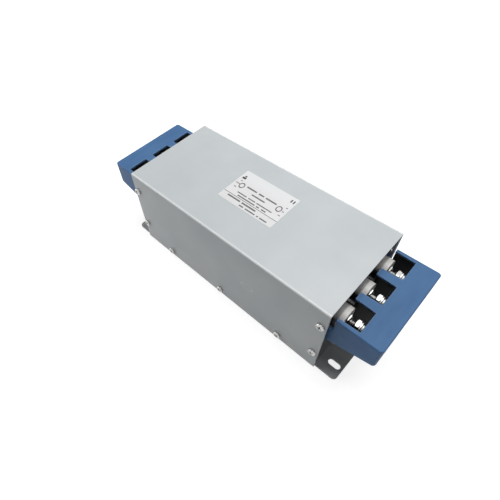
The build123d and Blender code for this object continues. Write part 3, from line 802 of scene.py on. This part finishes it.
@dataclass(frozen=True)
class PanHead:
    """A pan-head screw with a cross recess, along Z, its seat at zero, in mm."""

    radius: float = 4.0
    height: float = 2.8
    crown: float = 0.35
    edge: float = 1.2
    shank: float = 2.0
    length: float = 6.0
    arm: float = 2.6
    arm_soft: float = 0.5
    slot: float = 0.6
    slot_soft: float = 0.22
    recess: float = 1.9
    around: int = 96
    rings: int = 26
    edge_rings: int = 7

    def surface(self) -> Surface:
        """Builds the screw.

        The top is a shallow bowl turned over, height - crown (r / R)^2, that runs into a quarter
        round. The cross is sunk by the recess times how far a point lies inside either arm: within
        the slot's width of an arm's line and the arm's length of the middle.

        Returns:
            The screw.
        """
        angle = circle(self.around)
        flat = np.linspace(0.0, self.radius - self.edge, self.rings)
        turn = np.linspace(0.0, math.pi / 2, self.edge_rings)[1:]
        rim = self.radius - self.edge + self.edge * np.sin(turn)
        top = self.height - self.crown * (flat / self.radius) ** 2
        rim_z = top[-1] - self.edge * (1 - np.cos(turn))
        radius = np.concatenate([flat, rim, [self.radius, self.shank, self.shank, 0.0]])[:, None]
        z = np.concatenate([top, rim_z, [0.0, 0.0, -self.length, -self.length]])[:, None]
        x_side, y_side = radius * np.cos(angle), radius * np.sin(angle)
        across = np.minimum(np.abs(x_side), np.abs(y_side))
        inside = np.clip((self.slot - across) / self.slot_soft + 0.5, 0.0, 1.0)
        sunk = self.recess * inside * np.clip((self.arm - radius) / self.arm_soft, 0.0, 1.0)
        sunk[self.rings :] = 0.0
        return Surface.grid(np.stack([x_side, y_side, z - sunk], axis=-1))


@dataclass(frozen=True)
class Workshop:
    """Turns surfaces into finished pieces on the object's one body."""

    smooth_angle: float = math.radians(32)
    sharp_angle: float = math.radians(30)
    flat_angle: float = math.radians(1)
    new_merge: float = 1e-7
    node_merge: float = 2e-6

    def settle(self, piece: bpy.types.Object, finish: Finish, nodes: tuple[str, ...]) -> None:
        """Gives a piece its finish and body and says which nodes it stands for.

        Args:
            piece: The new object.
            finish: The finish to build.
            nodes: The nodes that it replaces.
        """
        bpy.context.scene.collection.objects.link(piece)
        piece.data.materials.clear()
        piece.data.materials.append(finish.material())
        setting = {"object": piece, "active_object": piece, "selected_objects": [piece]}
        with bpy.context.temp_override(**setting, selected_editable_objects=[piece]):
            bpy.ops.object.shade_smooth_by_angle(angle=self.smooth_angle)
        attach(piece, BODY)
        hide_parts(*nodes)
        LOG.info("%s: %d faces, for %s", piece.name, len(piece.data.polygons), ", ".join(nodes))

    def soften(self, piece: bpy.types.Object, width: float) -> None:
        """Rounds every sharp edge.

        Args:
            piece: The piece.
            width: The rounding, in mm.
        """
        bevel = piece.modifiers.new("soft_edges", "BEVEL")
        bevel.width = width * MM
        bevel.segments = 2
        bevel.limit_method = "ANGLE"
        bevel.angle_limit = self.sharp_angle
        bevel.miter_outer = "MITER_ARC"

    def clean(self, mesh: bpy.types.Mesh, merge: float) -> None:
        """Closes seams and poles of a mesh and points its faces outwards.

        Args:
            mesh: The mesh.
            merge: Points nearer than this become one, in metres.
        """
        work = bmesh.new()
        work.from_mesh(mesh)
        bmesh.ops.remove_doubles(work, verts=work.verts, dist=merge)
        bmesh.ops.dissolve_degenerate(work, edges=work.edges, dist=merge)
        bmesh.ops.recalc_face_normals(work, faces=work.faces)
        work.to_mesh(mesh)
        work.free()

    def piece(self, name: str, surface: Surface, finish: Finish, slot: str, *nodes: str) -> bpy.types.Object:
        """Makes a piece from a surface.

        Args:
            name: The piece's name.
            surface: Its points and faces, in mm.
            finish: Its finish.
            slot: Not used.
            *nodes: The nodes that it stands for.

        Returns:
            The finished piece.
        """
        mesh = bpy.data.meshes.new(name)
        mesh.from_pydata((surface.points * MM).tolist(), [], surface.quads.tolist())
        self.clean(mesh, self.new_merge)
        piece = bpy.data.objects.new(name, mesh)
        self.settle(piece, finish, nodes)
        return piece

    def refined(self, node: str, finish: Finish, width: float) -> None:
        """Makes a piece from a node's own form, with its loose triangles joined and its edges rounded.

        Args:
            node: The node to stand for.
            finish: The finish.
            width: The rounding, in mm.
        """
        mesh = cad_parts[node].data.copy()
        mesh.name = f"{node}_finished"
        self.clean(mesh, self.node_merge)
        work = bmesh.new()
        work.from_mesh(mesh)
        bmesh.ops.dissolve_limit(work, angle_limit=self.flat_angle, verts=work.verts, edges=work.edges)
        work.to_mesh(mesh)
        work.free()
        if "custom_normal" in mesh.attributes:
            mesh.attributes.remove(mesh.attributes["custom_normal"])
        piece = bpy.data.objects.new(mesh.name, mesh)
        self.settle(piece, finish, (node,))
        self.soften(piece, width)

    def dress(self, finish: Finish, *nodes: str) -> None:
        """Gives nodes that keep their own mesh a finish.

        Args:
            finish: The finish.
            *nodes: The nodes.
        """
        material = finish.material()
        for node in nodes:
            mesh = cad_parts[node].data
            mesh.materials.clear()
            mesh.materials.append(material)
        LOG.info("%s on %s", finish.name, ", ".join(nodes))


# Sub-assemblies


@dataclass
class SheetCase:
    """The folded case: cover, base with flanges, end plates and side screws, in mm."""

    length: float = 250.0
    width: float = 111.0
    height: float = 103.0
    sheet: float = 1.5
    bend: float = 1.8
    lift: float = 0.5
    cut_edge: float = 0.3
    cover_edge: float = 0.2
    base_edge: float = 0.25
    plate_edge: float = 0.2
    screw_x: float = 119.5
    screw_heights: Pair = (29.5, 81.0)
    lip_pitch: float = 80.0
    lip_height: float = 8.5
    near_turn: Pair = (0.5, 2.4)
    far_turn: Pair = (0.0, 1.7)
    paint: Paint = CoverPaint("case_paint", linear(207, 212, 214), linear(200, 206, 209))
    base_paint: Paint = Paint("base_paint", linear(196, 199, 200), linear(184, 188, 190), 0.45)
    end_paint: Paint = Paint("end_paint", linear(170, 173, 175), linear(158, 162, 165), 0.5)
    screw_metal: Metal = Metal("side_screw_metal", (0.50, 0.50, 0.49), (0.24, 0.24, 0.24), 0.24)
    inner_metal: Metal = Metal("inner_screw_metal", (0.6, 0.6, 0.58), (0.4, 0.4, 0.38))

    def cover(self) -> Surface:
        """Builds the cover: a folded outline carried along X, closed by its own shape at both ends.

        The outline runs down the outside of one side, over the top, down the other side and back
        along the inside, with a wide curve outside each fold and a narrow one inside it. Each end
        closes by a strip between the outer and the inner half of the outline.

        Returns:
            The cover.
        """
        half, low, top = self.width / 2, self.lift, self.height
        inner, inner_top = half - self.sheet, self.height - self.sheet
        outside = [(-half, low), (-half, top), (half, top), (half, low)]
        inside = [(inner, low), (inner, inner_top), (-inner, inner_top), (-inner, low)]
        cut, fold = self.cut_edge, self.bend - self.sheet
        outline = softened(outside + inside, [cut, self.bend, self.bend, cut, cut, fold, fold, cut], 9)
        x = (-self.length / 2, self.length / 2)
        count = len(outline)
        walls = Surface.grid(np.stack([np.column_stack([np.full(count, end), outline]) for end in x]))
        near = np.arange(count // 2 - 1)
        far = count - 1 - near
        strip = np.stack([near, near + 1, far - 1, far], axis=-1)
        return Surface(walls.points, np.concatenate([walls.quads, strip, strip[:, ::-1] + count]))

    def screw_places(self) -> list[Pair]:
        """Lists X and Z of the screws on one long side."""
        ends = [(end.value * self.screw_x, z) for end in End for z in self.screw_heights]
        return ends + [(place * self.lip_pitch, self.lip_height) for place in (-1, 0, 1)]

    def screws(self) -> Surface:
        """Builds the side screws, each turned by its own angle.

        Returns:
            All of them.
        """
        head = PanHead().surface()
        parts = []
        for number, (x, z) in enumerate(self.screw_places()):
            near, far = (head.spun(first + step * number) for first, step in (self.near_turn, self.far_turn))
            near = near.turned((1, 0, 0), (0, 0, 1), (0, -1, 0))
            far = far.turned((-1, 0, 0), (0, 0, 1), (0, 1, 0))
            parts += [near.moved(x, -self.width / 2, z), far.moved(x, self.width / 2, z)]
        return Surface.joined(parts)

    def build(self, shop: Workshop) -> None:
        """Builds and dresses the case.

        Args:
            shop: The workshop.
        """
        cover = shop.piece("case_cover", self.cover(), self.paint, "case_paint", "housing_cover")
        shop.soften(cover, self.cover_edge)
        shop.refined("base_tray", self.base_paint, self.base_edge)
        for end in End:
            shop.refined(f"end_plate_{end.label}", self.end_paint, self.plate_edge)
        shop.piece("side_screw_set", self.screws(), self.screw_metal, "screw_metal", "side_screws")
        shop.dress(self.inner_metal, "clinch_nuts", "clamp_nuts")


@dataclass
class TerminalCovers:
    """The two moulded covers and their screws, in mm."""

    plastic: Moulding = CoverPlastic("cover_plastic", linear(81, 122, 168), linear(73, 112, 159), sheen=0.2)
    screw_metal: Metal = Metal("cover_screw_metal", (0.62, 0.62, 0.61), (0.36, 0.36, 0.35))
    edge: float = 0.35
    screw_place: Triple = (116.0, 40.0, 54.5)
    screw_turn: Pair = (0.9, 1.9)

    def screws(self) -> Surface:
        """Builds the screws in the lugs, their heads towards the front of each end.

        Returns:
            All four.
        """
        x, y, z = self.screw_place
        head, parts = PanHead().surface(), []
        for side, angle in zip((-y, y), self.screw_turn):
            parts.append(head.spun(angle).turned((0, 1, 0), (0, 0, 1), (1, 0, 0)).moved(x, side, z))
        return Surface.joined(parts).at_both_ends()

    def build(self, shop: Workshop) -> None:
        """Builds and dresses both covers.

        Args:
            shop: The workshop.
        """
        for end in End:
            shop.refined(f"terminal_cover_{end.label}", self.plastic, self.edge)
        screws = self.screws()
        shop.piece("cover_screw_set", screws, self.screw_metal, "screw_metal", "terminal_cover_screws")


@dataclass
class Terminals:
    """The six stud terminals: bushings, threaded studs, nuts and washers, in mm."""

    pitch: float = 32.5
    height: float = 74.0
    plate_back: float = 111.5
    plate_face: float = 113.0
    bushing_end: float = 131.2
    bushing_radius: float = 12.0
    bushing_edges: tuple[float, ...] = (0.2, 0.2, 0.1, 0.3, 0.7, 0.4)
    spigot_radius: float = 6.0
    stud_radius: float = 4.0
    stud_back: float = 95.5
    stud_front: float = 153.5
    thread_pitch: float = 1.25
    thread_gap: float = 1.0
    bore: float = 4.1
    flats: float = 13.0
    nut_thick: float = 6.5
    jam_thick: float = 2.0
    bare_stud: float = 5.0
    hold_thick: float = 4.2
    washer_radius: float = 8.0
    washer_thick: float = 1.4
    spring_radius: float = 6.6
    spring_thick: float = 2.0
    spring_gap: float = 1.6
    insulator: Moulding = BushingPlastic(
        "bushing_plastic", linear(250, 248, 244), linear(241, 239, 235), 0.4
    )
    plated: Metal = Metal("plated_metal", (0.33, 0.33, 0.32), (0.16, 0.16, 0.156), 0.17)
    stud_metal: Metal = Metal("stud_metal", (0.50, 0.50, 0.49), (0.26, 0.26, 0.255), 0.22)
    spring: Metal = Metal("spring_metal", (0.32, 0.32, 0.315), (0.18, 0.18, 0.177), 0.3)
    board: Moulding = Moulding("insulating_board", linear(178, 150, 112), linear(160, 132, 96))
    rows: tuple[int, ...] = (-1, 0, 1)

    def at_rows(self, part: Surface) -> Surface:
        """Returns a part made at the axis, at each terminal of the right end."""
        return Surface.joined([part.moved(0.0, row * self.pitch, self.height) for row in self.rows])

    def nut(self, x: float, thick: float) -> Surface:
        """Returns a nut of a thickness from an X on."""
        return Nut(self.flats, thick, self.bore).surface().moved(x, 0.0, 0.0)

    def bushing(self) -> Surface:
        """Builds a bushing: a stepped outline with rounded corners turned about X.

        Returns:
            The bushing at the axis.
        """
        corners = [
            (self.plate_back, self.bore),
            (self.plate_back, self.spigot_radius),
            (self.plate_face, self.spigot_radius),
            (self.plate_face, self.bushing_radius),
            (self.bushing_end, self.bushing_radius),
            (self.bushing_end, self.bore),
        ]
        return lathe(softened(corners, self.bushing_edges), 64)

    def build_bushings(self, shop: Workshop) -> None:
        """Builds the six bushings.

        Args:
            shop: The workshop.
        """
        for number, row in enumerate(self.rows, 1):
            placed = self.bushing().moved(0.0, row * self.pitch, self.height)
            for end in End:
                node = f"bushing_{number}_{end.label}"
                shop.piece(f"{node}_moulded", placed.at_end(end), self.insulator, "bushing_plastic", node)

    def build_studs(self, shop: Workshop) -> None:
        """Builds the threaded studs of each end.

        Args:
            shop: The workshop.
        """
        start = self.bushing_end + self.thread_gap
        rod = ThreadedRod(self.stud_radius, self.stud_back, start, self.stud_front, self.thread_pitch)
        studs = self.at_rows(rod.surface())
        for end in End:
            node = f"terminal_studs_{end.label}"
            shop.piece(f"{node}_threaded", studs.at_end(end), self.stud_metal, "stud_metal", node)

    def build(self, shop: Workshop) -> None:
        """Builds the bushings, the studs and what is screwed on them, from the inside out.

        Args:
            shop: The workshop.
        """
        self.build_bushings(shop)
        self.build_studs(shop)
        hold = self.bushing_end + self.jam_thick + self.bare_stud
        washer = hold + self.hold_thick
        spring = washer + self.washer_thick
        jam = self.nut(self.bushing_end, self.jam_thick)
        nuts = [self.nut(hold, self.hold_thick), self.nut(spring + self.spring_thick, self.nut_thick)]
        flat = ring(self.washer_radius, self.bore, washer, spring)
        split = SplitRing(self.spring_radius, self.bore, self.spring_thick, self.spring_gap).surface()
        for name, shape, metal, slot in (
            ("jam_nut", jam, self.plated, "stud_metal"),
            ("terminal_nut", Surface.joined(nuts), self.plated, "stud_metal"),
            ("flat_washer", flat, self.stud_metal, "stud_metal"),
            ("spring_washer", split.moved(spring, 0.0, 0.0), self.spring, "spring_metal"),
        ):
            shop.piece(f"{name}_set", self.at_rows(shape).at_both_ends(), metal, slot, f"{name}s")
        shop.dress(self.spring, "clamp_springs")
        shop.dress(self.board, "insulating_washers")


@dataclass
class EarthTerminals:
    """The earth stud at each end with its washers and nuts, in mm."""

    height: float = 36.0
    face: float = 113.0
    back: float = 111.5
    front: float = 131.0
    radius: float = 3.0
    head_radius: float = 5.0
    head_thick: float = 2.5
    head_edge: float = 0.3
    pitch: float = 1.0
    flats: float = 10.0
    nut_thick: float = 5.0
    washer_radius: float = 6.0
    washer_thick: float = 1.2
    washer_edge: float = 0.2
    bore: float = 3.1
    metal: Metal = Metal("earth_metal", (0.74, 0.73, 0.70), (0.52, 0.51, 0.47), 0.3)

    def build(self, shop: Workshop) -> None:
        """Builds the studs, washers and nuts.

        Args:
            shop: The workshop.
        """
        rod = ThreadedRod(self.radius, self.back, self.face, self.front, self.pitch).surface()
        head = ring(self.head_radius, 0.0, self.back - self.head_thick, self.back, self.head_edge)
        nut = Nut(self.flats, self.nut_thick, self.bore).surface()
        sets = {"earth_stud": [rod, head], "earth_washer": [], "earth_nut": []}
        for seat in (self.face, self.face + self.washer_thick + self.nut_thick):
            top = seat + self.washer_thick
            sets["earth_washer"].append(ring(self.washer_radius, self.bore, seat, top, self.washer_edge))
            sets["earth_nut"].append(nut.moved(top, 0.0, 0.0))
        for name, parts in sets.items():
            shape = Surface.joined(parts).moved(0.0, 0.0, self.height).at_both_ends()
            shop.piece(f"{name}_set", shape, self.metal, "earth_metal", f"{name}s")


@dataclass
class RatingLabel:
    """The printed film on the top, in mm."""

    length: float = 67.0
    width: float = 45.5
    thick: float = 0.2
    offset_y: float = 5.6
    top: float = 103.0
    corner: float = 1.0
    reach: tuple[float, ...] = (0.0, 1.0, 1.0, 0.998, 0.0)
    rise: tuple[float, ...] = (0.0, 0.0, 0.6, 1.0, 1.0)
    printed: LabelPrint = LabelPrint("label_print", linear(241, 242, 243), linear(238, 236, 237))

    def film(self) -> Surface:
        """Builds the film: an outline with round corners, at four heights, closed to its middle.

        The outline is repeated at the foot, at the edge, a little inside the edge on top and at
        the middle point, so the rim has a thin rounded edge.

        Returns:
            The film.
        """
        half_x, half_y = self.length / 2, self.width / 2
        corners = [(-half_x, -half_y), (half_x, -half_y), (half_x, half_y), (-half_x, half_y)]
        outline = softened(corners, self.corner, 7)
        flat = outline[None] * np.array(self.reach)[:, None, None]
        z = np.array(self.rise)[:, None, None] * self.thick
        points = np.concatenate([flat, np.broadcast_to(z, (*flat.shape[:2], 1))], axis=-1)
        return Surface.grid(points).moved(0.0, self.offset_y, self.top)

    def build(self, shop: Workshop) -> None:
        """Builds the label."""
        shop.piece("label_film", self.film(), self.printed, "label_film", "rating_label")


def at_ends(*stems: str) -> tuple[str, ...]:
    """Returns the names of nodes that both ends have."""
    return tuple(f"{stem}_{end.label}" for stem in stems for end in End)


def numbered(*stems: str) -> tuple[str, ...]:
    """Returns the names of nodes that come in threes."""
    return tuple(f"{stem}_{number}" for stem in stems for number in (1, 2, 3))


@dataclass
class Interior:
    """What the case encloses, wound chokes, copper links and a capacitor board, listed by finish."""

    looks: tuple[tuple[Finish, tuple[str, ...]], ...] = (
        (Moulding("core_tape", linear(84, 86, 92), linear(64, 66, 72), 0.45), at_ends("choke_core")),
        (Moulding("core_case_plastic", linear(48, 50, 54), linear(38, 40, 44), 0.5), at_ends("choke_case")),
        (
            Metal("bracket_metal", (0.66, 0.66, 0.64), (0.46, 0.46, 0.44), 0.36),
            (*at_ends("choke_bracket"), "choke_bolts", "choke_bolt_nuts", "board_screws"),
        ),
        (Moulding("pad_board", linear(170, 142, 104), linear(150, 124, 90), 0.6), ("choke_pads",)),
        (
            Metal("copper", (0.78, 0.42, 0.28), (0.48, 0.24, 0.15), 0.36),
            ("phase_bars", "board_leads", *at_ends(*numbered("link", "winding"))),
        ),
        (Moulding("board_laminate", linear(58, 108, 72), linear(48, 92, 62), 0.4), ("capacitor_board",)),
        (Metal("standoff_brass", (0.80, 0.64, 0.36), (0.56, 0.43, 0.22), 0.3), ("board_standoffs",)),
        (
            Moulding("line_capacitor_plastic", linear(216, 176, 74), linear(200, 160, 62), 0.35),
            numbered("line_capacitor"),
        ),
        (
            Moulding("earth_capacitor_plastic", linear(76, 112, 168), linear(64, 98, 150), 0.35),
            ("earth_capacitors",),
        ),
        (
            Moulding("resistor_lacquer", linear(168, 182, 172), linear(150, 164, 156), 0.4),
            ("bleed_resistors",),
        ),
    )

    def build(self, shop: Workshop) -> None:
        """Dresses the enclosed nodes."""
        for finish, nodes in self.looks:
            shop.dress(finish, *nodes)


@dataclass
class Lamp:
    """One soft lamp: where it hangs, its two sides and its power, in metres and watts."""

    name: str
    place: Triple
    size: Pair
    power: float
    target: Triple = (0.0, 0.0, 0.05)

    def build(self) -> None:
        """Hangs the lamp, facing its target."""
        light = bpy.data.lights.new(self.name, "AREA")
        light.shape = "RECTANGLE"
        light.size, light.size_y = self.size
        light.energy = self.power
        lamp = bpy.data.objects.new(self.name, light)
        aim = Vector(self.target) - Vector(self.place)
        turn = aim.to_track_quat("-Z", "Y").to_matrix().to_4x4()
        lamp.matrix_world = Matrix.Translation(self.place) @ turn
        bpy.context.scene.collection.objects.link(lamp)


@dataclass
class Studio:
    """The pale floor, the lamps, the white surroundings and the camera."""

    floor_half: float = 3.0
    floor_drop: float = 0.0003
    floor_points: int = 9
    floor_colour: Colour = (0.50, 0.50, 0.50)
    floor_roughness: float = 0.9
    floor_glow: float = 0.80
    ambient: float = 0.05
    lamps: tuple[Lamp, ...] = (
        Lamp("key", (0.06, 0.26, 1.00), (0.85, 0.80), 8.2),
        Lamp("left", (-1.20, -0.50, 0.50), (0.7, 0.7), 6.6),
    )
    sensor: float = 36.0
    clip_start: float = 0.01
    focal_pixels: float = 384.16
    frame_pixels: float = 500.0
    axis_pixel: Pair = (219.29, 246.44)
    elevation: float = 0.9108
    azimuth: float = 0.8502
    roll: float = -0.0992
    camera_place: Triple = (0.1702, -0.2006, 0.3720)

    def seen_directly(self, tree: bpy.types.NodeTree) -> Socket:
        """Tells what is seen from light that falls.

        Args:
            tree: The shader's tree.

        Returns:
            1 for what the camera, a reflection or a glass sees, and 0 otherwise.
        """
        path = tree.nodes.new("ShaderNodeLightPath")
        seen = path.outputs["Is Camera Ray"]
        for name in ("Is Glossy Ray", "Is Transmission Ray"):
            larger = tree.nodes.new("ShaderNodeMath")
            larger.operation = "MAXIMUM"
            tree.links.new(seen, larger.inputs[0])
            tree.links.new(path.outputs[name], larger.inputs[1])
            seen = larger.outputs[0]
        return seen

    def surroundings(self) -> None:
        """Makes the world white to the eye and dimmer as light."""
        world = bpy.data.worlds.new("studio")
        bpy.context.scene.world = world
        world.use_nodes = True
        tree = world.node_tree
        background = tree.nodes["Background"]
        background.inputs["Color"].default_value = (1.0, 1.0, 1.0, 1.0)
        strength = tree.nodes.new("ShaderNodeMapRange")
        tree.links.new(self.seen_directly(tree), strength.inputs[0])
        strength.inputs["To Min"].default_value = self.ambient
        strength.inputs["To Max"].default_value = 1.0
        tree.links.new(strength.outputs[0], background.inputs["Strength"])

    def floor(self) -> None:
        """Lays a pale floor that glows to the eye, so it is white except where a shadow falls."""
        side = np.linspace(-self.floor_half, self.floor_half, self.floor_points)
        x, y = np.meshgrid(side, side, indexing="ij")
        sheet = Surface.grid(np.stack([x, y, np.full_like(x, -self.floor_drop)], axis=-1), False, False)
        mesh = bpy.data.meshes.new("floor")
        mesh.from_pydata(sheet.points.tolist(), [], sheet.quads[:, ::-1].tolist())
        floor = bpy.data.objects.new("floor", mesh)
        bpy.context.scene.collection.objects.link(floor)
        graph = Graph("floor_paper")
        glow = graph.math("MULTIPLY", self.seen_directly(graph.tree), self.floor_glow)
        look = {"Base_Color": self.floor_colour, "Roughness": self.floor_roughness}
        paper = graph.finish(**look, Emission_Color=(1.0, 1.0, 1.0), Emission_Strength=glow)
        floor.data.materials.append(paper)

    def camera(self) -> None:
        """Sets the camera at the photograph's angle.

        The view's back points along the azimuth and elevation, its right and up are turned by the
        roll, and the lens and shift come from the focal length and the axis in pixels.
        """
        cos_a, sin_a = math.cos(self.azimuth), math.sin(self.azimuth)
        cos_e, sin_e = math.cos(self.elevation), math.sin(self.elevation)
        back = Vector((sin_a * cos_e, -cos_a * cos_e, sin_e))
        level = Vector((cos_a, sin_a, 0.0))
        upright = back.cross(level)
        right = math.cos(self.roll) * level + math.sin(self.roll) * upright
        up = math.cos(self.roll) * upright - math.sin(self.roll) * level
        data = bpy.data.cameras.new("camera")
        data.sensor_width = self.sensor
        data.lens = self.focal_pixels / self.frame_pixels * data.sensor_width
        data.shift_x = (self.frame_pixels / 2 - self.axis_pixel[0]) / self.frame_pixels
        data.shift_y = (self.axis_pixel[1] - self.frame_pixels / 2) / self.frame_pixels
        data.clip_start = self.clip_start
        camera = bpy.data.objects.new("camera", data)
        turn = Matrix((right, up, back)).transposed().to_4x4()
        camera.matrix_world = Matrix.Translation(self.camera_place) @ turn
        bpy.context.scene.collection.objects.link(camera)
        bpy.context.scene.camera = camera

    def build(self) -> None:
        """Builds the studio."""
        bpy.context.scene.view_settings.view_transform = "Standard"
        self.surroundings()
        self.floor()
        self.camera()
        for lamp in self.lamps:
            lamp.build()


def main() -> None:
    """Builds every sub-assembly and the studio."""
    logging.basicConfig(level=logging.INFO, format="%(message)s")
    shop = Workshop()
    assemblies = (SheetCase(), TerminalCovers(), Terminals(), EarthTerminals(), RatingLabel(), Interior())
    for assembly in assemblies:
        assembly.build(shop)
        LOG.info("%s is done", type(assembly).__name__)
    Studio().build()


if __name__ == "__main__":
    main()
